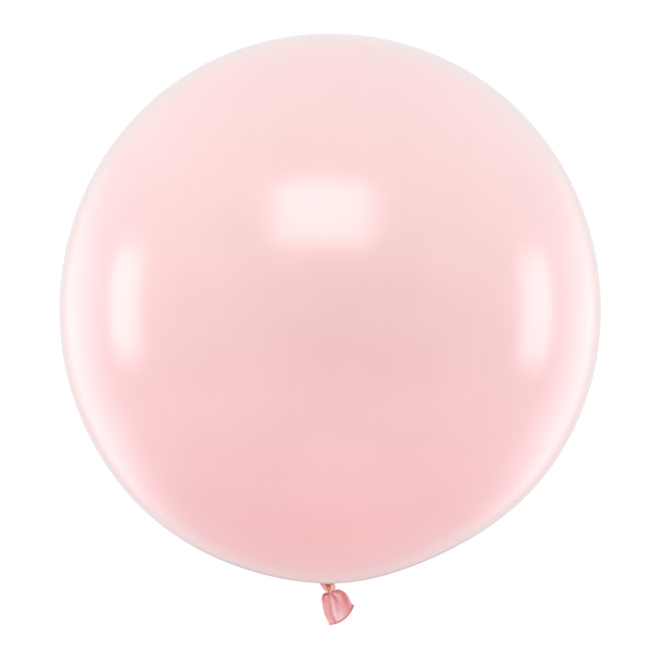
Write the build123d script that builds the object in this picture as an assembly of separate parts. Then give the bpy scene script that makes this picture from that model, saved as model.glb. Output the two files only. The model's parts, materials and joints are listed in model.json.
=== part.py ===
from build123d import *
from math import cos, radians, sin
import os

# Giant round latex balloon, blown up and tied, with its neck hanging down.
# Millimetres. +Z points from the neck to the crown. The origin is the middle of
# the neck, where the envelope gathers into the knot and where a ribbon is tied.

# ---- envelope -----------------------------------------------------------------
RADIUS = 500.0              # at the widest ring
CROWN_RISE = 512.0          # widest ring up to the crown
NECK_DROP = 504.0           # widest ring down to the neck
FULLNESS = 2.03             # exponent of the upper half; 2 is an ellipse
TAPER = 0.135               # how far the lower half slims towards the neck
TAPER_POWER = 8.8           # how late that slimming sets in
WALL = 0.8                  # the film, thicker than the real one
PROFILE_SPANS = 9           # spline spans in each half of the profile
CROWN_SPOT_RADIUS = 18.0    # thick patch left where the dipping form drained
CROWN_SPOT_WALL = 2.2
THROAT_RADIUS = 32.0        # where the film starts to gather
NECK_RADIUS = 7.5           # the gathered neck, closed by its own folds
NECK_TOP = 6.0
NECK_FLARE_TOP = 3.2        # where the throat's inner face meets the neck
NECK_END = -0.4

# ---- knot ---------------------------------------------------------------------
KNOT_TOP = -0.7
KNOT_LEAN = 5.5             # sideways shift of the knot's lower end
KNOT_EDGE_ROUND = 1.6
CORE_RADIUS = 4.0           # the strand that runs through the knot
CORE_END = -11.2
# Sections of the wrap: height, sideways shift, half width, half depth
WRAP_SECTIONS = [
    (KNOT_TOP, 0.0, 14.0, 10.5),
    (-6.0, 1.6, 11.5, 9.5),
    (-11.5, 4.4, 6.3, 6.0),
]

# ---- tail ---------------------------------------------------------------------
PINCH = (KNOT_LEAN, 0, -14.2)   # the tail hinges here, under the knot
PINCH_RADIUS = 3.6          # the pinched film, a ball that turns in the core's end
PINCH_CLEARANCE = 0.3
TAIL_LEAN = 24.8            # of the tail's centre line from straight down
TAIL_WALL = 0.9
TAIL_PLUG = 3.5             # solid gathered film at the top of the tail
RIM_BEAD_RADIUS = 1.9
# Sections: distance from the pinch, half width, half depth, lean of the section
TAIL_SECTIONS = [
    (2.2, 3.6, 3.6, 24.8),
    (8.5, 11.5, 7.5, 26.0),
    (18.0, 22.5, 10.5, 29.0),
    (32.0, 28.0, 11.5, 35.0),
    (45.5, 30.0, 11.5, 39.6),
]


def lower_point(angle, inset=0.0):
    """Point on the lower half; angle runs from 0, the widest ring, to 90."""
    depth = sin(radians(angle))
    slim = 1 - TAPER * depth**TAPER_POWER
    radius = (RADIUS - inset) * cos(radians(angle)) * slim
    return (radius, 0, NECK_DROP - (NECK_DROP - inset) * depth)


def upper_point(angle, inset=0.0):
    """Point on the upper half; angle runs from 0, the widest ring, to 90."""
    power = 2 / FULLNESS
    radius = (RADIUS - inset) * cos(radians(angle)) ** power
    rise = (CROWN_RISE - inset) * sin(radians(angle)) ** power
    return (radius, 0, NECK_DROP + rise)


def angle_at(point, radius):
    """Angle at which a half of the profile has come in to this radius."""
    low, high = 0.0, 90.0
    while high - low > 1e-9:
        middle = (low + high) / 2
        if point(middle)[0] > radius:
            low = middle
        else:
            high = middle
    return low


THROAT_ANGLE = angle_at(lower_point, THROAT_RADIUS)
CROWN_ANGLE = angle_at(upper_point, CROWN_SPOT_RADIUS)


def turned(*edges):
    """Revolve a closed outline in the XZ plane about the Z axis."""
    return revolve(make_face(edges), Axis.Z)


def envelope_line(inset):
    """Line of the film from the throat, round the widest ring, to the crown."""
    spans = range(PROFILE_SPANS + 1)
    points = [lower_point(THROAT_ANGLE * (1 - i / PROFILE_SPANS), inset) for i in spans]
    points += [upper_point(CROWN_ANGLE * i / PROFILE_SPANS, inset) for i in spans[1:]]
    return Spline(*points)


def make_envelope():
    outside = envelope_line(0.0)
    inside = envelope_line(WALL)
    neck_edge = Line(outside @ 0, inside @ 0)
    crown_edge = Line(outside @ 1, inside @ 1)
    return turned(outside, inside, neck_edge, crown_edge)


def make_crown_spot():
    """Thick round patch that fills the envelope's top, bulging inwards."""
    edge_out = upper_point(CROWN_ANGLE)
    edge_in = upper_point(CROWN_ANGLE, WALL)
    top = Vector(0, 0, NECK_DROP + CROWN_RISE)
    bottom = top - Vector(0, 0, CROWN_SPOT_WALL)
    return turned(
        TangentArc(top, edge_out, tangent=(1, 0, 0)),
        Line(edge_out, edge_in),
        TangentArc(bottom, edge_in, tangent=(1, 0, 0)),
        Line(top, bottom),
    )


def make_throat():
    """Shallow funnel that closes the envelope's bottom and ends in the neck."""
    edge_out = Vector(*lower_point(THROAT_ANGLE))
    edge_in = Vector(*lower_point(THROAT_ANGLE, WALL))
    neck_rim = Vector(NECK_RADIUS, 0, 0)
    neck_end = Vector(NECK_RADIUS, 0, NECK_END)
    flare_in = Vector(NECK_RADIUS, 0, NECK_FLARE_TOP)
    neck_top = Vector(NECK_RADIUS, 0, NECK_TOP)
    return turned(
        Line(edge_in, edge_out),
        Line(edge_out, neck_rim),
        Polyline(neck_rim, neck_end, (0, 0, NECK_END), (0, 0, NECK_TOP), neck_top, flare_in),
        Line(flare_in, edge_in),
    )


def make_knot_core():
    """Strand of gathered film from under the neck to the pinch."""
    top = Vector(0, 0, KNOT_TOP)
    end = Vector(KNOT_LEAN, 0, CORE_END)
    path = Spline(top, end, tangents=[(0, 0, -1), (0.3, 0, -1)])
    return sweep(Plane(top, z_dir=(0, 0, -1)) * Circle(CORE_RADIUS), path)


def make_knot_wrap(core):
    """Loop of the neck pulled tight round the core, wide above, narrow below."""
    sections = [
        Pos(shift, 0, height) * Ellipse(half_width, half_depth)
        for height, shift, half_width, half_depth in WRAP_SECTIONS
    ]
    body = loft(sections)
    ends = body.faces().sort_by(Axis.Z)
    return fillet(ends[-1].edges() + ends[0].edges(), KNOT_EDGE_ROUND) - core


def tail_plane(distance, lean):
    """Plane across the tail, facing away from the pinch; local X is its width."""
    along = Vector(sin(radians(TAIL_LEAN)), 0, -cos(radians(TAIL_LEAN)))
    facing = Vector(sin(radians(lean)), 0, -cos(radians(lean)))
    across = Vector(cos(radians(lean)), 0, sin(radians(lean)))
    return Plane(Vector(*PINCH) + along * distance, x_dir=across, z_dir=facing)


def tail_form(sections, inset):
    return loft([
        tail_plane(distance, lean) * Ellipse(width - inset, depth - inset)
        for distance, width, depth, lean in sections
    ])


def make_rolled_rim():
    """Round bead that the film is rolled into at the mouth."""
    distance, width, depth, lean = TAIL_SECTIONS[-1]
    mouth = tail_plane(distance, lean)
    path = mouth * Ellipse(width - TAIL_WALL / 2, depth - TAIL_WALL / 2)
    path = path.edge()
    start = Plane(path @ 0, z_dir=path % 0)
    return sweep(start * Circle(RIM_BEAD_RADIUS), path)


def make_tail(rim):
    """Hollow sleeve from the pinch to the mouth, closed at its gathered top."""
    outside = tail_form(TAIL_SECTIONS, 0.0)
    distance, width, depth, lean = TAIL_SECTIONS[0]
    hollow_sections = [(distance + TAIL_PLUG, width, depth, lean)] + TAIL_SECTIONS[1:]
    sleeve = outside - tail_form(hollow_sections, TAIL_WALL) - rim
    return sleeve + Pos(PINCH) * Sphere(PINCH_RADIUS)


socket = Pos(PINCH) * Sphere(PINCH_RADIUS + PINCH_CLEARANCE)
knot_core = make_knot_core() - socket
rolled_rim = make_rolled_rim()
nodes = {
    "envelope": make_envelope(),
    "crown_spot": make_crown_spot(),
    "throat": make_throat(),
    "knot_core": knot_core,
    "knot_wrap": make_knot_wrap(knot_core) - socket,
    "tail": make_tail(rolled_rim),
    "rolled_rim": rolled_rim,
}

os.makedirs("parts", exist_ok=True)
for name, shape in nodes.items():
    export_step(shape, f"parts/{name}.step")
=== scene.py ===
import json
from math import atan2, copysign, cos, exp, pi, radians, sin

import bmesh
import bpy
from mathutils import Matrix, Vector, noise
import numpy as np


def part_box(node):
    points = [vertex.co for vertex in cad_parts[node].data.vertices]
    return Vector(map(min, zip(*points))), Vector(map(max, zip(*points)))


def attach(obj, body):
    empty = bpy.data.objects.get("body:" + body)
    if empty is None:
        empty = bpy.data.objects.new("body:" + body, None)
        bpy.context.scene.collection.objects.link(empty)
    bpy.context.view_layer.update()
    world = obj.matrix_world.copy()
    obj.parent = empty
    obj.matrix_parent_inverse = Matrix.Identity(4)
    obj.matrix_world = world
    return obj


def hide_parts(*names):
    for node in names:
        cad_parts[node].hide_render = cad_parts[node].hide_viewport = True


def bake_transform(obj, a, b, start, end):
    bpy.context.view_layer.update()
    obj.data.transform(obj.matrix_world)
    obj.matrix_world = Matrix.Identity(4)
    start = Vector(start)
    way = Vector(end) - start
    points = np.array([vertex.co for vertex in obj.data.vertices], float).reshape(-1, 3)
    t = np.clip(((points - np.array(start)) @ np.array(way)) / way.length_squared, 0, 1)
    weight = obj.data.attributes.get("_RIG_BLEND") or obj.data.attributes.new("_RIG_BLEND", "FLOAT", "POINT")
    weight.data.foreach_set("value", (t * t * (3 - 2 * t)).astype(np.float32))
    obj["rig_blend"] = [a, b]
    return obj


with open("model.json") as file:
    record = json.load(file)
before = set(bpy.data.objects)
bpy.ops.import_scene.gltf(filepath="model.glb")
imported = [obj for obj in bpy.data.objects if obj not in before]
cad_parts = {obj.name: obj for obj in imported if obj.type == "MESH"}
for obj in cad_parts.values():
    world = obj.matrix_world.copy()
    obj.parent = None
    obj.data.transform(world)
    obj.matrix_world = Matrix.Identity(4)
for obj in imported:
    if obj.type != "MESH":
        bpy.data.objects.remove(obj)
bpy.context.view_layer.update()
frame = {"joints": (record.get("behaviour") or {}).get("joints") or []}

# ---- envelope -------------------------------------------------------------------
# The stretched film that holds the air: one dipped skin of natural rubber latex,
# a few hundredths of a millimetre thick, so tight that it is glossy and almost smooth.
# It is drawn as half a profile and spun, as the dipping form was turned.


def let_go():
    """Leave edit mode's leftovers and deselect everything."""
    if bpy.context.mode != "OBJECT":
        bpy.ops.object.mode_set(mode="OBJECT")
    bpy.ops.object.select_all(action="DESELECT")


def spun(name, profile, steps):
    """A piece turned from a profile of (radius, height) points, drawn point by point."""
    let_go()
    bpy.ops.mesh.primitive_plane_add(size=0.001)
    piece = bpy.context.object
    piece.name = piece.data.name = name
    bpy.ops.object.mode_set(mode="EDIT")
    bpy.ops.mesh.merge(type="CENTER")
    here = Vector((profile[0][0], 0, profile[0][1]))
    bpy.ops.transform.translate(value=here)
    for radius, height in profile[1:]:
        there = Vector((radius, 0, height))
        bpy.ops.mesh.extrude_region_move(TRANSFORM_OT_translate={"value": there - here})
        here = there
    bpy.ops.mesh.select_all(action="SELECT")
    bpy.ops.mesh.spin(steps=steps, angle=2 * pi, center=(0, 0, 0), axis=(0, 0, 1))
    bpy.ops.mesh.select_all(action="SELECT")
    bpy.ops.mesh.remove_doubles(threshold=0.00001)
    bpy.ops.mesh.normals_make_consistent(inside=False)
    bpy.ops.object.mode_set(mode="OBJECT")
    bpy.ops.object.transform_apply()
    bpy.ops.object.shade_smooth()
    return piece


def apply_all(piece):
    """Apply every modifier on a piece, in order, and keep the cut edge of its wall crisp."""
    let_go()
    piece.select_set(True)
    bpy.context.view_layer.objects.active = piece
    for modifier in list(piece.modifiers):
        bpy.ops.object.modifier_apply(modifier=modifier.name)
    bpy.ops.object.shade_smooth_by_angle(angle=radians(60))


envelope_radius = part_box("envelope")[1].x
crown_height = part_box("crown_spot")[1].z
spot_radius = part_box("crown_spot")[1].x
throat_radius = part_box("throat")[1].x
ring_height = 0.496 * crown_height      # height of the widest ring
film_wall = 0.0008                      # thicker than the real film, so that it has an inside
fullness = 2.03                         # exponent of the upper half's outline
taper = 0.135                           # how far the lower half slims
taper_power = 8.8                       # how late that slimming sets in


def lower_at(angle):
    """(radius, height) on the lower half, at an angle below the widest ring."""
    depth = sin(radians(angle))
    slim = 1 - taper * depth**taper_power
    return envelope_radius * (1 - depth * depth) ** 0.5 * slim, ring_height * (1 - depth)


def upper_at(angle):
    """(radius, height) on the upper half, at an angle above the widest ring."""
    power = 2 / fullness
    rise = (crown_height - ring_height) * sin(radians(angle)) ** power
    return envelope_radius * cos(radians(angle)) ** power, ring_height + rise


def angle_of(skin_at, radius):
    """Angle from the widest ring at which the skin has come in to this radius."""
    low, high = 0.0, 90.0
    while high - low > 1e-7:
        middle = (low + high) / 2
        if skin_at(middle)[0] > radius:
            low = middle
        else:
            high = middle
    return low


throat_angle = angle_of(lower_at, throat_radius)
spot_angle = angle_of(upper_at, spot_radius)
rows = 60                               # rows of faces in each half
steps = 256                             # faces round the envelope and the throat
envelope_profile = [lower_at(throat_angle * (1 - i / rows)) for i in range(rows + 1)]
envelope_profile += [upper_at(spot_angle * i / rows) for i in range(1, rows + 1)]
envelope = spun("envelope_film", envelope_profile, steps)


def lean_over(piece):
    """The lower film hangs to one side of the knot, by most at this height above it."""
    lean, height = 0.0105, 0.05
    for vertex in piece.data.vertices:
        up = max(vertex.co.z, 0) / height
        vertex.co.x -= lean * up * exp(1 - up)


lean_over(envelope)
wall = envelope.modifiers.new("wall", "SOLIDIFY")
wall.thickness = film_wall
wall.offset = -1
apply_all(envelope)


def linear(hex_colour):
    """An sRGB hex colour as the linear RGBA that shaders take."""
    channels = [int(hex_colour[i:i + 2], 16) / 255 for i in (1, 3, 5)]
    return [c / 12.92 if c <= 0.04045 else ((c + 0.055) / 1.055) ** 2.4 for c in channels] + [1]


def node(tree, kind, settings=None, **inputs):
    """Add a shader node; settings are its properties, inputs its values or links."""
    made = tree.nodes.new(kind)
    for name, value in (settings or {}).items():
        setattr(made, name, value)
    for name, value in inputs.items():
        socket = made.inputs[int(name[1:])] if name[1:].isdigit() else made.inputs[name.replace("_", " ")]
        if isinstance(value, bpy.types.NodeSocket):
            tree.links.new(value, socket)
        else:
            socket.default_value = value
    return made


def ramp(tree, factor, stops):
    """A colour ramp through (place, hex colour) stops."""
    made = node(tree, "ShaderNodeValToRGB", i0=factor)
    elements = made.color_ramp.elements
    while len(elements) < len(stops):
        elements.new(0.5)
    for element, (place, colour) in zip(elements, stops):
        element.position = place
        element.color = linear(colour)
    return made.outputs["Color"]


def blank_material(name):
    made = bpy.data.materials.new(name)
    made.use_nodes = True
    tree = made.node_tree
    return made, tree, tree.nodes["Principled BSDF"]


# Pastel latex under full stretch: gloss of a wet-looking skin, deeper pink towards the
# bottom and paler towards the top, which is denser film near the neck and painted shade
# on the lower half, faintly clouded by its thickness.
stretched, tree, skin = blank_material("stretched_latex")
place = node(tree, "ShaderNodeTexCoord").outputs["Object"]
height = node(tree, "ShaderNodeSeparateXYZ", i0=place).outputs["Z"]
up = node(tree, "ShaderNodeMapRange", From_Min=0.0, From_Max=crown_height, Value=height)
# Colour by height, deep pink low to pale high: painted shade on the lower half as well as denser film near
# the neck.
film = ramp(tree, up.outputs[0], [
    (0.0, "#ECA3A9"), (0.05, "#EFAEB3"), (0.2, "#F6BFC4"),
    (0.5, "#F8CBCE"), (0.8, "#F6D2D3"), (1.0, "#F5D2D3"),
])
cloud_size = 0.11
cloud = node(tree, "ShaderNodeTexNoise", Vector=place, Scale=1 / cloud_size, Detail=3.0)
drip_width, drip_length = 0.018, 0.30   # runs left as the dipped form drained
drawn_out = node(tree, "ShaderNodeMapping", i0=place,
                 Scale=(1 / drip_width, 1 / drip_width, 1 / drip_length))
drips = node(tree, "ShaderNodeTexNoise", Vector=drawn_out.outputs[0], Scale=1.0, Detail=2.0)
mottle = node(tree, "ShaderNodeMath", {"operation": "MULTIPLY_ADD"},
              i0=drips.outputs[0], i1=0.35, i2=cloud.outputs[0])
value = node(tree, "ShaderNodeMapRange", Value=mottle.outputs[0], From_Min=0.42, From_Max=0.93,
             To_Min=0.982, To_Max=1.018)
flat = node(tree, "ShaderNodeVectorMath", {"operation": "MULTIPLY"}, i0=place, i1=(1, 1, 0)).outputs[0]
reach = node(tree, "ShaderNodeVectorMath", {"operation": "LENGTH"}, i0=flat).outputs["Value"]
streak_width = 0.0016
streaks = node(tree, "ShaderNodeTexNoise", Vector=flat, Scale=1 / streak_width, Detail=2.0).outputs[0]
neck_reach, spot_reach = 0.060, 0.024   # how far the denser film reaches from the axis
neck = node(tree, "ShaderNodeMapRange", {"interpolation_type": "SMOOTHSTEP"}, Value=reach,
            From_Min=neck_reach, From_Max=0.008, To_Min=0.0, To_Max=0.75).outputs[0]
low = node(tree, "ShaderNodeMath", {"operation": "LESS_THAN"}, i0=height, i1=ring_height).outputs[0]
gathering = node(tree, "ShaderNodeMath", {"operation": "MULTIPLY"}, i0=neck, i1=low).outputs[0]
film = node(tree, "ShaderNodeMix", {"data_type": "RGBA"},
            i0=gathering, i6=film, i7=linear("#E08F8E")).outputs[2]
wobble = node(tree, "ShaderNodeMath", {"operation": "MULTIPLY_ADD"},
              i0=streaks, i1=0.003, i2=reach).outputs[0]
crown = node(tree, "ShaderNodeMapRange", {"interpolation_type": "SMOOTHSTEP"}, Value=wobble,
             From_Min=spot_reach, From_Max=0.003, To_Min=0.0, To_Max=0.8).outputs[0]
high = node(tree, "ShaderNodeMath", {"operation": "GREATER_THAN"}, i0=height, i1=ring_height).outputs[0]
pooled = node(tree, "ShaderNodeMath", {"operation": "MULTIPLY"}, i0=crown, i1=high).outputs[0]
film = node(tree, "ShaderNodeMix", {"data_type": "RGBA"},
            i0=pooled, i6=film, i7=linear("#E79FA5")).outputs[2]
clouded = node(tree, "ShaderNodeHueSaturation", Color=film, Value=value.outputs[0])
tree.links.new(clouded.outputs[0], skin.inputs["Base Color"])
bloom_size = 0.007                      # powder bloom, drawn coarser than the real dust
bloom = node(tree, "ShaderNodeTexNoise", Vector=place, Scale=1 / bloom_size, Detail=4.0)
dulled = node(tree, "ShaderNodeMapRange", Value=bloom.outputs[0], From_Min=0.3, From_Max=0.7,
              To_Min=0.20, To_Max=0.25)
tree.links.new(dulled.outputs[0], skin.inputs["Roughness"])
orange_peel = node(tree, "ShaderNodeBump", Height=bloom.outputs[0], Strength=0.03, Distance=0.0005)
tree.links.new(orange_peel.outputs[0], skin.inputs["Normal"])
skin.inputs["IOR"].default_value = 1.52
skin.inputs["Coat Weight"].default_value = 1.0
skin.inputs["Coat Roughness"].default_value = 0.14
skin.inputs["Coat IOR"].default_value = 1.6

envelope.data.materials.append(stretched)
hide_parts("envelope")
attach(envelope, "envelope")

# ---- throat ---------------------------------------------------------------------
# The last few centimetres of film above the knot, the same skin drawn in from all round
# to the neck. It isn't a joined piece: it gathers into soft radial pleats as it narrows.
# It stays with the envelope, and the knot turns under it.
throat_rows = 26
neck_radius = 0.0085                    # where the pleats go into the knot
neck_dip = 0.0016                       # how far they dip below the envelope
pleat_count = 17
pleat_height = 0.0005


def throat_at(share):
    """(radius, height) from the envelope's edge, 0, to the neck, 1."""
    radius = throat_radius + (neck_radius - throat_radius) * share
    skin_height = throat_edge[1] * (radius / throat_radius)**2
    return radius, skin_height - neck_dip * share**5


throat_edge = lower_at(throat_angle)
throat = spun("throat_film", [throat_at(1 - i / throat_rows) for i in range(throat_rows + 1)], steps)
for vertex in throat.data.vertices:
    radius = vertex.co.xy.length
    turn = atan2(vertex.co.y, vertex.co.x)
    gathered = max((throat_radius - radius) / (throat_radius - neck_radius), 0)**1.6
    pleat = sin(pleat_count * turn) + 0.6 * sin((pleat_count - 6) * turn + 1.3)
    vertex.co.z += pleat_height * gathered * pleat
lean_over(throat)
wall = throat.modifiers.new("wall", "SOLIDIFY")
wall.thickness = film_wall
wall.offset = -1
apply_all(throat)

throat.data.materials.append(stretched)
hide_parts("throat")
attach(throat, "envelope")

# ---- crown spot -----------------------------------------------------------------
# Round thick patch at the very top, where latex gathered on the tip of the dipping form
# as it drained. It stretches less than the film round it and melts into it at its edge.
spot_overlap = 0.005
spot_proud = 0.0006                     # swell in the middle, over the film's own curve
spot_thickness = 0.0022
spot_sink = 0.00008                     # its feather edge lies just under the film's face
spot_edge = spot_radius + spot_overlap
spot_rows = 16


def spot_at(share, drop):
    """(radius, height) on the patch at a share of its radius, drop below its outer face."""
    radius = max(spot_edge * share, 0.00001)
    skin_height = upper_at(angle_of(upper_at, radius))[1]
    return radius, skin_height + spot_proud * (1 - share**2)**2 - spot_sink * share**2 - drop


spot_profile = [spot_at(i / spot_rows, 0) for i in range(spot_rows + 1)]
spot_profile += [
    spot_at(i / spot_rows, film_wall + (spot_thickness - film_wall) * (1 - (i / spot_rows)**2))
    for i in range(spot_rows - 1, -1, -1)
]
crown_spot = spun("crown_patch", spot_profile, steps=96)
apply_all(crown_spot)
crown_spot.data.materials.append(stretched)
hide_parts("crown_spot")
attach(crown_spot, "envelope")

# ---- knot wrap ------------------------------------------------------------------
# The neck's own film, wound once round itself and pulled tight by hand: a wedge of
# pleats, wide under the envelope and squeezed to a bundle where the tail comes out.
mm = 0.001


def between(stations, share):
    """Smooth curve through evenly spaced stations, at a share of the way along."""
    spot = min(share, 0.99999) * (len(stations) - 1)
    i = int(spot)
    t = spot - i
    before, here = stations[max(i - 1, 0)], stations[i]
    there, after = stations[i + 1], stations[min(i + 2, len(stations) - 1)]
    return [
        0.5 * (2 * b + (c - a) * t + (2 * a - 5 * b + 4 * c - d) * t * t + (3 * b - a - 3 * c + d) * t**3)
        for a, b, c, d in zip(before, here, there, after)
    ]


def softly(value, low, high):
    """0 below low, 1 above high, eased between."""
    t = min(max((value - low) / (high - low), 0), 1)
    return t * t * (3 - 2 * t)


def fold_height(folds, side, share):
    """How far the folds lift the film, in mm, at a place across it and along it."""
    height = 0
    for side_from, side_to, width, lift, begins, ends in folds:
        centre = side_from + (side_to - side_from) * share
        present = softly(share, begins - 0.06, begins + 0.06)
        present *= 1 - softly(share, ends - 0.16, ends + 0.08)
        height += lift * present * exp(-((side - centre) / width)**2)
    return height


def painted_light_at(painted_light_patches, side, share):
    """Painted shade and painted highlight in patches: how much darker or paler the film is made here."""
    tone = 0
    for side_middle, share_middle, width, length, amount in painted_light_patches:
        tone += amount * exp(-((side - side_middle) / width)**2 - ((share - share_middle) / length)**2)
    return tone


def film_tube(name, stations, front_folds, back_folds, painted_light_patches, pleats, rings, around):
    """A flattened sleeve of film, drawn as a ring and extruded ring by ring.

    Stations give the left edge (x, z), the right edge (x, z), half the depth and how far
    the middle runs ahead of the edges, in mm. Folds are (across at the start, across at the
    end, width, height in mm, begins, ends) and the painted shade and highlight patches (across,
    along, width, length, amount), where across runs from -1 at the left edge to 1 at the right
    and along from 0 to 1.
    Pleats are (count, height in mm, fades out by).
    """
    let_go()
    bpy.ops.mesh.primitive_circle_add(vertices=around, radius=mm)
    piece = bpy.context.object
    piece.name = piece.data.name = name
    bpy.ops.object.mode_set(mode="EDIT")
    bpy.ops.mesh.select_all(action="SELECT")
    shape = bmesh.from_edit_mesh(piece.data)
    for layer in ("turn", "along", "fold"):
        shape.verts.layers.float.new(layer)
    turns = shape.verts.layers.float["turn"]
    for vertex in shape.verts:
        vertex[turns] = atan2(vertex.co.y, vertex.co.x)
    for ring in range(rings + 1):
        if ring:
            bpy.ops.mesh.extrude_region_move()
            shape = bmesh.from_edit_mesh(piece.data)
        turns, alongs, lifts = (shape.verts.layers.float[layer] for layer in ("turn", "along", "fold"))
        share = ring / rings
        left_x, left_z, right_x, right_z, depth, ahead = between(stations, share)
        left, right = Vector((left_x, 0, left_z)), Vector((right_x, 0, right_z))
        across = (right - left) / 2
        onward = Vector((across.z, 0, -across.x)).normalized()
        for vertex in shape.verts:
            if not vertex.select:
                continue
            turn = vertex[turns]
            side, front = cos(turn), -sin(turn)
            folds = front_folds if front > 0 else back_folds
            lift = fold_height(folds, side, share) * min(abs(front) * 2.2, 1)
            gather = 0
            for count, height, fades in pleats:
                gather += height * sin(count * turn + count) * (1 - softly(share, 0.35 * fades, fades))
            outward = Vector((side * across.x, -front * across.length, side * across.z)).normalized()
            spot = (left + right) / 2 + across * side + onward * ahead * (1 - side * side)
            spot.y -= front * depth
            crumple = noise.noise(spot * 0.16) * 0.5 * softly(share, 0.05, 0.4)
            spot += outward * (gather + crumple)
            spot.y -= lift * copysign(1, front)
            vertex.co = spot * mm
            vertex[alongs] = share
            # The fold attribute holds half the fold lift, the pleats and, on the front only, the painted
            # shade and highlight patches; the slack latex paints shade and highlight from it.
            vertex[lifts] = 0.5 * lift + gather + painted_light_at(painted_light_patches, side, share) * softly(front, -0.1, 0.3)
    bpy.ops.mesh.select_all(action="SELECT")
    bpy.ops.mesh.normals_make_consistent(inside=False)
    bpy.ops.object.mode_set(mode="OBJECT")
    bpy.ops.object.shade_smooth()
    return piece


wrap_stations = [
    (-5.5, -2.6, 7.0, -2.6, 4.5, 0),
    (-9.5, -0.7, 9.0, -0.6, 7.5, 0),
    (-13.4, -1.4, 12.4, -1.0, 9.8, 0),
    (-13.2, -4.0, 13.8, -4.6, 10.2, 0),
    (-10.4, -8.6, 14.6, -9.0, 8.8, 0.5),
    (-7.0, -13.0, 13.6, -12.8, 6.8, 1),
    (-2.8, -16.4, 10.4, -15.6, 4.8, 1),
    (1.4, -17.2, 9.0, -16.4, 3.2, 0),
]
wrap_front = [
    (0.10, 0.10, 0.26, -2.6, 0.16, 0.50),
    (1.05, 0.00, 0.22, 1.9, 0.30, 0.95),
    (0.74, -0.20, 0.12, -1.3, 0.34, 0.95),
    (-0.62, -0.30, 0.14, 0.9, 0.20, 0.95),
    (-0.34, -0.12, 0.10, -1.0, 0.24, 0.9),
    (-0.86, -0.60, 0.08, -0.8, 0.24, 0.8),
]
# Painted shade and painted highlight on the wrap's front: below zero darker, above zero paler.
wrap_painted_light = [
    (0.05, 0.42, 0.32, 0.14, -2.2),
    (0.05, 0.68, 0.24, 0.10, -1.0),
    (-0.60, 0.50, 0.30, 0.20, -0.6),
    (0.00, 0.50, 1.20, 0.50, -0.6),
    (0.62, 0.62, 0.20, 0.20, 1.5),
    (-0.10, 0.92, 0.40, 0.10, 0.8),
]
wrap_back = [
    (-0.50, 0.30, 0.22, 2.4, 0.15, 0.95),
    (-0.10, 0.55, 0.12, -2.0, 0.15, 0.95),
    (0.35, 0.75, 0.14, 1.2, 0.2, 0.9),
    (-0.80, -0.10, 0.12, -1.6, 0.2, 0.9),
]
knot_wrap = film_tube("knot_wrap_film", wrap_stations, wrap_front, wrap_back, wrap_painted_light,
                      [(11, 0.18, 3.0), (19, 0.09, 3.0)], rings=48, around=160)
wall = knot_wrap.modifiers.new("wall", "SOLIDIFY")
wall.thickness = film_wall
wall.offset = -1
apply_all(knot_wrap)

# Slack latex, back to its dipped thickness: a denser salmon pink than the stretched skin,
# satin from its powder bloom, darker in the gathers and paler on the ridges, which is painted
# shade and painted highlight as well as film lying double in the gathers, and a little
# warmer where it is bunched at the pinch.
slack, tree, skin = blank_material("slack_latex")
place = node(tree, "ShaderNodeTexCoord").outputs["Object"]
# Painted shade in the fold hollows and painted highlight on the ridges, read from the fold attribute.
lift = node(tree, "ShaderNodeAttribute", {"attribute_name": "fold"}).outputs["Fac"]
raised = node(tree, "ShaderNodeMapRange", Value=lift, From_Min=-3.0, From_Max=3.0)
painted_fold_shading = ramp(tree, raised.outputs[0], [
    (0.0, "#C9635A"), (0.25, "#EC9390"), (0.5, "#FCBABA"), (0.75, "#FFCDD0"), (1.0, "#FFE2E6"),
])
cloud_size = 0.009
cloud = node(tree, "ShaderNodeTexNoise", Vector=place, Scale=1 / cloud_size, Detail=3.0)
value = node(tree, "ShaderNodeMapRange", Value=cloud.outputs[0], From_Min=0.3, From_Max=0.7,
             To_Min=0.95, To_Max=1.05)
joint_places = {joint["name"]: tuple(joint["pos_m"]) for joint in frame["joints"]}
pinch = joint_places["tail_swing"]      # where the knot nips the film
apart = node(tree, "ShaderNodeVectorMath", {"operation": "DISTANCE"}, i0=place, i1=pinch)
warmth = node(tree, "ShaderNodeMapRange", Value=apart.outputs["Value"],
              From_Min=0.008, From_Max=0.032, To_Min=0.514, To_Max=0.490)
clouded = node(tree, "ShaderNodeHueSaturation", Hue=warmth.outputs[0], Color=painted_fold_shading,
               Value=value.outputs[0])
tree.links.new(clouded.outputs[0], skin.inputs["Base Color"])
bloom_grain = 0.0007                    # powder bloom, coarser than the real dust
bloom = node(tree, "ShaderNodeTexNoise", Vector=place, Scale=1 / bloom_grain, Detail=3.0)
dulled = node(tree, "ShaderNodeMapRange", Value=bloom.outputs[0], From_Min=0.3, From_Max=0.7,
              To_Min=0.34, To_Max=0.48)
tree.links.new(dulled.outputs[0], skin.inputs["Roughness"])
crinkle_width = 0.0022
crinkle = node(tree, "ShaderNodeTexNoise", Vector=place, Scale=1 / crinkle_width, Detail=4.0)
relief = node(tree, "ShaderNodeMath", {"operation": "MULTIPLY_ADD"},
              i0=bloom.outputs[0], i1=0.12, i2=crinkle.outputs[0])
bump = node(tree, "ShaderNodeBump", Height=relief.outputs[0], Strength=0.5, Distance=0.0003)
tree.links.new(bump.outputs[0], skin.inputs["Normal"])
skin.inputs["IOR"].default_value = 1.52
skin.inputs["Coat Weight"].default_value = 0.25
skin.inputs["Coat Roughness"].default_value = 0.3
skin.inputs["Subsurface Weight"].default_value = 0.25
skin.inputs["Subsurface Radius"].default_value = (0.0030, 0.0010, 0.0008)
skin.inputs["Subsurface Scale"].default_value = 1.0

knot_wrap.data.materials.append(slack)
knot_wrap.visible_glossy = False        # no mirror image of it in the film
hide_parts("knot_wrap")
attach(knot_wrap, "knot")

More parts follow.
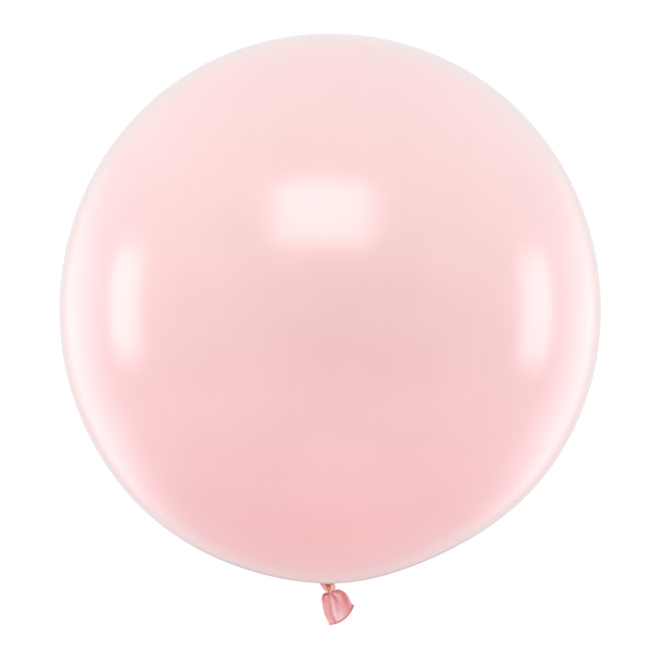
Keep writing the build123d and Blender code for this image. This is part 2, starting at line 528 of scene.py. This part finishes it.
# ---- knot core ------------------------------------------------------------------
# The strand of neck film that runs down through the wrap, bunched into a ribbed cord
# and given half a turn as the knot was pulled shut.
core_stations = [
    (-4.2, -0.9, 4.2, -0.9, 4.0, 0),
    (-3.8, -4.0, 4.8, -4.2, 4.2, 0),
    (-2.0, -9.0, 6.4, -9.0, 4.2, 0),
    (0.6, -13.6, 8.8, -13.2, 4.0, 0),
    (1.8, -17.8, 8.8, -17.0, 3.4, 0),
]
knot_core = film_tube("knot_core_strand", core_stations, [], [], [], [(9, 0.32, 5.0), (16, 0.14, 5.0)],
                      rings=28, around=96)
let_go()
knot_core.select_set(True)
bpy.context.view_layer.objects.active = knot_core
bpy.ops.object.mode_set(mode="EDIT")
bpy.ops.mesh.select_all(action="DESELECT")
bpy.ops.mesh.select_non_manifold()
bpy.ops.mesh.edge_face_add()
bpy.ops.mesh.select_all(action="SELECT")
bpy.ops.mesh.normals_make_consistent(inside=False)
bpy.ops.object.mode_set(mode="OBJECT")

knot_core.data.materials.append(slack)
knot_core.visible_glossy = False
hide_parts("knot_core")
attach(knot_core, "knot")

# ---- tail -----------------------------------------------------------------------
# The end of the neck that sticks out of the knot: unstretched film that springs back
# open from the pinch, in folds that fan out to the mouth it was blown up through.
tail_stations = [
    (2.0, -15.4, 9.0, -14.8, 3.5, 0),
    (0.5, -17.8, 10.5, -16.2, 4.2, 0.5),
    (-6.2, -20.0, 15.5, -13.4, 7.0, 3),
    (-10.0, -25.0, 22.5, -13.0, 9.5, 4.5),
    (-10.6, -32.5, 32.2, -18.0, 11.5, 5),
    (-8.6, -44.0, 39.5, -28.0, 12, 5.5),
    (-5.0, -60.0, 43.6, -36.4, 12, 6.5),
    (4.4, -77.0, 48.0, -41.8, 11, 7.8),
]
tail_front = [
    (0.16, -0.38, 0.085, 2.3, 0.18, 1.06),
    (0.30, 0.02, 0.12, -2.2, 0.20, 0.66),
    (0.52, 0.46, 0.20, 2.2, 0.26, 0.66),
    (0.62, 0.86, 0.14, -1.6, 0.18, 0.46),
    (0.80, 0.66, 0.22, -1.4, 0.50, 0.90),
    (-0.02, -0.54, 0.09, -1.8, 0.18, 0.62),
    (-0.10, -0.60, 0.12, -0.8, 0.60, 1.06),
    (-0.20, -1.25, 0.12, 2.2, 0.22, 0.52),
    (-0.62, -1.00, 0.14, -2.4, 0.22, 0.44),
    (-0.60, -0.76, 0.17, 1.1, 0.55, 1.06),
    (0.06, 0.16, 0.26, 1.2, 0.82, 1.06),
]
# Painted shadow on the tail's left shoulder under the knot, and painted highlights such as the pale patch by
# the mouth.
tail_painted_light = [
    (-0.52, 0.31, 0.26, 0.06, -3.8),
    (-0.88, 0.46, 0.16, 0.12, -2.4),
    (-0.55, 0.46, 0.10, 0.08, 1.2),
    (-0.02, 0.36, 0.10, 0.08, -0.4),
    (0.18, 0.52, 0.08, 0.12, -0.6),
    (0.50, 0.46, 0.18, 0.09, 1.5),
    (0.52, 0.26, 0.25, 0.04, -2.0),
    (0.80, 0.63, 0.22, 0.16, -1.1),
    (-0.08, 0.97, 0.24, 0.12, 2.6),
    (-0.30, 0.90, 0.09, 0.16, 1.2),
    (0.62, 0.96, 0.26, 0.10, -0.8),
    (-0.22, 0.74, 0.07, 0.20, 1.2),
    (-0.66, 0.90, 0.22, 0.14, -0.4),
    (-0.85, 0.66, 0.40, 0.36, -0.8),
    (0.20, 0.80, 0.20, 0.12, 0.7),
]
tail_back = [
    (-0.10, 0.24, 0.09, 2.4, 0.18, 1.06),
    (0.12, 0.46, 0.10, -3.0, 0.18, 1.06),
    (-0.32, -0.05, 0.10, -3.0, 0.18, 0.7),
    (0.45, 0.74, 0.13, 2.2, 0.22, 0.6),
    (-0.58, -0.46, 0.16, 2.2, 0.22, 1.06),
    (-0.80, -0.80, 0.12, -2.2, 0.25, 0.8),
]
tail = film_tube("tail_film", tail_stations, tail_front, tail_back, tail_painted_light,
                 [(13, 0.30, 0.55), (23, 0.16, 0.40)], rings=72, around=208)

tail_wall = 0.0005
let_go()
tail.select_set(True)
bpy.context.view_layer.objects.active = tail
bpy.ops.object.mode_set(mode="EDIT")
bpy.ops.mesh.select_all(action="DESELECT")
shape = bmesh.from_edit_mesh(tail.data)
alongs = shape.verts.layers.float["along"]
for vertex in shape.verts:
    vertex.select = vertex[alongs] == 1.0
shape.select_flush(True)
bpy.ops.mesh.duplicate()
bpy.ops.mesh.separate(type="SELECTED")
bpy.ops.object.mode_set(mode="OBJECT")
mouth_line = next(piece for piece in bpy.context.selected_objects if piece is not tail)
wall = tail.modifiers.new("wall", "SOLIDIFY")
wall.thickness = tail_wall
wall.offset = 0
apply_all(tail)

tail.data.materials.append(slack)
tail.visible_glossy = False
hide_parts("tail")
mouth_way = Vector((0.419, 0, -0.908))  # from the pinch to the middle of the mouth
bend_length = 0.028                     # the film bends over this much of its length
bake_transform(tail, "knot", "tail", start=pinch, end=tuple(Vector(pinch) + mouth_way * bend_length))

# ---- rolled rim -----------------------------------------------------------------
# The film's free end, rolled up on itself while still wet into a round bead that stiffens
# the mouth. It is drawn along the tail's own last ring, with the roll's lip left showing.
bead_radius = 1.75 * mm
bead_points = 28
let_go()
bpy.ops.mesh.primitive_circle_add(vertices=bead_points, radius=bead_radius)
roll = bpy.context.object
roll.name = "roll_section"
for vertex in roll.data.vertices:
    turn = atan2(vertex.co.y, vertex.co.x) / (2 * pi) % 1
    vertex.co *= 0.93 + 0.14 * turn
bpy.ops.object.convert(target="CURVE")
let_go()
mouth_line.select_set(True)
bpy.context.view_layer.objects.active = mouth_line
bpy.ops.object.convert(target="CURVE")
rolled_rim = bpy.context.object
rolled_rim.name = rolled_rim.data.name = "rolled_rim_bead"
rolled_rim.data.bevel_mode = "OBJECT"
rolled_rim.data.bevel_object = roll
for i, point in enumerate(rolled_rim.data.splines[0].points):
    point.radius = 1 + 0.05 * sin(i * 0.31) + 0.04 * sin(i * 0.17 + 1)
bpy.ops.object.convert(target="MESH")
bpy.ops.object.mode_set(mode="EDIT")
bpy.ops.mesh.select_all(action="SELECT")
bpy.ops.mesh.remove_doubles(threshold=0.00001)
bpy.ops.mesh.normals_make_consistent(inside=False)
bpy.ops.object.mode_set(mode="OBJECT")
bpy.ops.object.shade_smooth()
bpy.data.objects.remove(roll)

# Many turns of film deep, so the pink is at its densest; smooth and softly shiny where
# it was rolled wet.
rolled, tree, skin = blank_material("rolled_latex")
place = node(tree, "ShaderNodeTexCoord").outputs["Object"]
cloud_size = 0.006
cloud = node(tree, "ShaderNodeTexNoise", Vector=place, Scale=1 / cloud_size, Detail=3.0)
rolled_colour = ramp(tree, cloud.outputs[0], [(0.3, "#DC9294"), (0.7, "#EBA7A9")])
tree.links.new(rolled_colour, skin.inputs["Base Color"])
skin.inputs["Roughness"].default_value = 0.32
skin.inputs["IOR"].default_value = 1.52
skin.inputs["Coat Weight"].default_value = 0.5
skin.inputs["Coat Roughness"].default_value = 0.22
skin.inputs["Subsurface Weight"].default_value = 0.2
skin.inputs["Subsurface Radius"].default_value = (0.0030, 0.0010, 0.0008)
skin.inputs["Subsurface Scale"].default_value = 1.0

rolled_rim.data.materials.clear()
rolled_rim.data.materials.append(rolled)
rolled_rim.visible_glossy = False
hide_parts("rolled_rim")
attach(rolled_rim, "tail")

# ---- studio ----------------------------------------------------------------------
# A white room: a pale floor well below the balloon, one large soft box over the viewer,
# one tall one at each side and a small card low in front. The camera sees a plain white
# surround, while the film is lit by a shaded one and mirrors it.
middle = Vector((0, 0, crown_height / 2))
floor_drop = 0.55
floor_radius = 2.4
let_go()
bpy.ops.mesh.primitive_circle_add(vertices=96, radius=floor_radius, fill_type="NGON",
                                  location=(0, 0, -floor_drop))
floor = bpy.context.object
floor.name = "floor"
bpy.ops.object.transform_apply()
paper, tree, skin = blank_material("white_paper_sweep")
skin.inputs["Base Color"].default_value = linear("#F3F1F1")
skin.inputs["Roughness"].default_value = 0.8
place = node(tree, "ShaderNodeTexCoord").outputs["Object"]
flat = node(tree, "ShaderNodeVectorMath", {"operation": "MULTIPLY"}, i0=place, i1=(1, 1, 0))
reach = node(tree, "ShaderNodeVectorMath", {"operation": "LENGTH"}, i0=flat.outputs[0]).outputs["Value"]
edge = node(tree, "ShaderNodeMapRange", {"interpolation_type": "SMOOTHSTEP"}, Value=reach,
            From_Min=0.6, From_Max=floor_radius, To_Min=1.0, To_Max=0.0)
# The floor fades out at its edge and is clear from underneath, so low views aren't blocked.
underneath = node(tree, "ShaderNodeNewGeometry").outputs["Backfacing"]
from_above = node(tree, "ShaderNodeMath", {"operation": "SUBTRACT"}, i0=1.0, i1=underneath)
cover = node(tree, "ShaderNodeMath", {"operation": "MULTIPLY"},
             i0=edge.outputs[0], i1=from_above.outputs[0])
tree.links.new(cover.outputs[0], skin.inputs["Alpha"])
floor.data.materials.append(paper)


def soft_box(name, place, size, strength, aim=middle):
    """A rectangular soft box, brightest in its centre, that faces the aim point."""
    data = bpy.data.lights.new(name, "AREA")
    data.shape = "RECTANGLE"
    data.size, data.size_y = size
    data.energy = strength * size[0] * size[1] * pi
    data.use_nodes = True
    tree = data.node_tree
    tree.nodes.clear()
    cloth = node(tree, "ShaderNodeNewGeometry").outputs["Parametric"]
    offset = node(tree, "ShaderNodeVectorMath", {"operation": "SUBTRACT"}, i0=cloth, i1=(0.5, 0.5, 0))
    sides = node(tree, "ShaderNodeVectorMath", {"operation": "ABSOLUTE"}, i0=offset.outputs[0])
    apart = node(tree, "ShaderNodeSeparateXYZ", i0=sides.outputs[0])
    fades = [
        node(tree, "ShaderNodeMapRange", {"interpolation_type": "SMOOTHSTEP"}, Value=apart.outputs[axis],
             From_Min=0.5, From_Max=0.2, To_Min=0.0, To_Max=1.0)
        for axis in ("X", "Y")
    ]
    fade = node(tree, "ShaderNodeMath", {"operation": "MULTIPLY"},
                i0=fades[0].outputs[0], i1=fades[1].outputs[0])
    cloth_glow = node(tree, "ShaderNodeEmission", Color=linear("#FFFCF5"), Strength=fade.outputs[0])
    node(tree, "ShaderNodeOutputLight", Surface=cloth_glow.outputs[0])
    lamp = bpy.data.objects.new(name, data)
    bpy.context.scene.collection.objects.link(lamp)
    lamp.location = place
    lamp.rotation_euler = (aim - Vector(place)).to_track_quat("-Z", "Y").to_euler()
    lamp.visible_camera = False
    return lamp


soft_box("top_box", (-0.16, -2.6, 2.35), (3.0, 2.0), 2.35)
soft_box("left_box", (-3.15, -0.1, 0.57), (1.4, 2.35), 1.9)
soft_box("right_box", (3.15, -0.05, 0.52), (1.4, 2.35), 1.9)

fill = soft_box("fill_card", (0.10, -0.75, -0.30), (0.55, 0.35), 2.1, aim=Vector((0.02, 0, -0.04)))
fill.visible_glossy = False             # lights the knot and tail without a glint on the film

world = bpy.data.worlds.new("white_studio")
bpy.context.scene.world = world
world.use_nodes = True
tree = world.node_tree
tree.nodes.clear()
way = node(tree, "ShaderNodeTexCoord").outputs["Generated"]
split = node(tree, "ShaderNodeSeparateXYZ", i0=way)


def eased(value, low, high, at_low, at_high):
    return node(tree, "ShaderNodeMapRange", {"interpolation_type": "SMOOTHSTEP"}, Value=value,
                From_Min=low, From_Max=high, To_Min=at_low, To_Max=at_high).outputs[0]


def maths(kind, first, second=0.0):
    return node(tree, "ShaderNodeMath", {"operation": kind}, i0=first, i1=second).outputs[0]


def facing(direction, low, high):
    """1 for what lies in this direction, easing to 0 away from it."""
    nearness = node(tree, "ShaderNodeVectorMath", {"operation": "DOT_PRODUCT"}, i0=way,
                    i1=Vector(direction).normalized())
    return eased(nearness.outputs["Value"], low, high, 0.0, 1.0)


def product(*factors):
    result = factors[0]
    for factor in factors[1:]:
        result = maths("MULTIPLY", result, factor)
    return result


# Brighter panels to either side behind give the pale rim, and the walls and the sweep under
# the balloon add a little. The front is darker, as is a strip low behind the knot, which
# keeps the film pink at its lowest edge.
sideways = maths("ABSOLUTE", split.outputs["X"])
backward, upward = split.outputs["Y"], split.outputs["Z"]
room_level = 0.83
backdrop = product(
    eased(backward, 0.2, 0.6, 0.0, 0.5), eased(upward, 0.4, -0.05, 0.0, 1.0),
    eased(sideways, 0.05, 0.45, 0.0, 1.0), eased(backward, 0.78, 0.9, 1.0, 0.0),
)
walls = maths("ADD", eased(sideways, 0.2, 0.9, 0.0, 0.12), eased(upward, 0.0, 0.7, 0.0, 0.06))
underside = eased(upward, -0.2, -0.8, 0.0, 0.43)
low_behind = product(
    eased(backward, 0.80, 0.95, 0.0, 0.28), eased(upward, 0.15, -0.1, 0.0, 1.0),
    eased(sideways, 0.22, 0.06, 0.0, 1.0),
)
dark_front = maths("MULTIPLY", facing((0.25, -1, -0.3), 0.65, 1.0), 0.24)
dim_front = maths("MULTIPLY", facing((0, -1, -0.1), -0.1, 0.9), 0.13)
room = maths("ADD", maths("ADD", backdrop, walls), maths("ADD", underside, room_level))
room = maths("SUBTRACT", maths("SUBTRACT", room, dark_front), maths("ADD", dim_front, low_behind))
seen = node(tree, "ShaderNodeLightPath").outputs["Is Camera Ray"]
level = node(tree, "ShaderNodeMix", i0=seen, i2=room, i3=1.0)
glow = node(tree, "ShaderNodeBackground", Color=(1, 1, 1, 1), Strength=level.outputs[0])
node(tree, "ShaderNodeOutputWorld", Surface=glow.outputs[0])

scene = bpy.context.scene
scene.view_settings.view_transform = "Standard"
camera_distance = 5.0
camera_height = 0.469
camera_roll = -0.53                     # the view is tipped by half a degree
camera = bpy.data.objects.new("camera", bpy.data.cameras.new("camera"))
scene.collection.objects.link(camera)
camera.data.lens = 146.9
camera.location = (0, -camera_distance, camera_height)
camera.rotation_euler = (radians(90), radians(camera_roll), 0)
scene.camera = camera
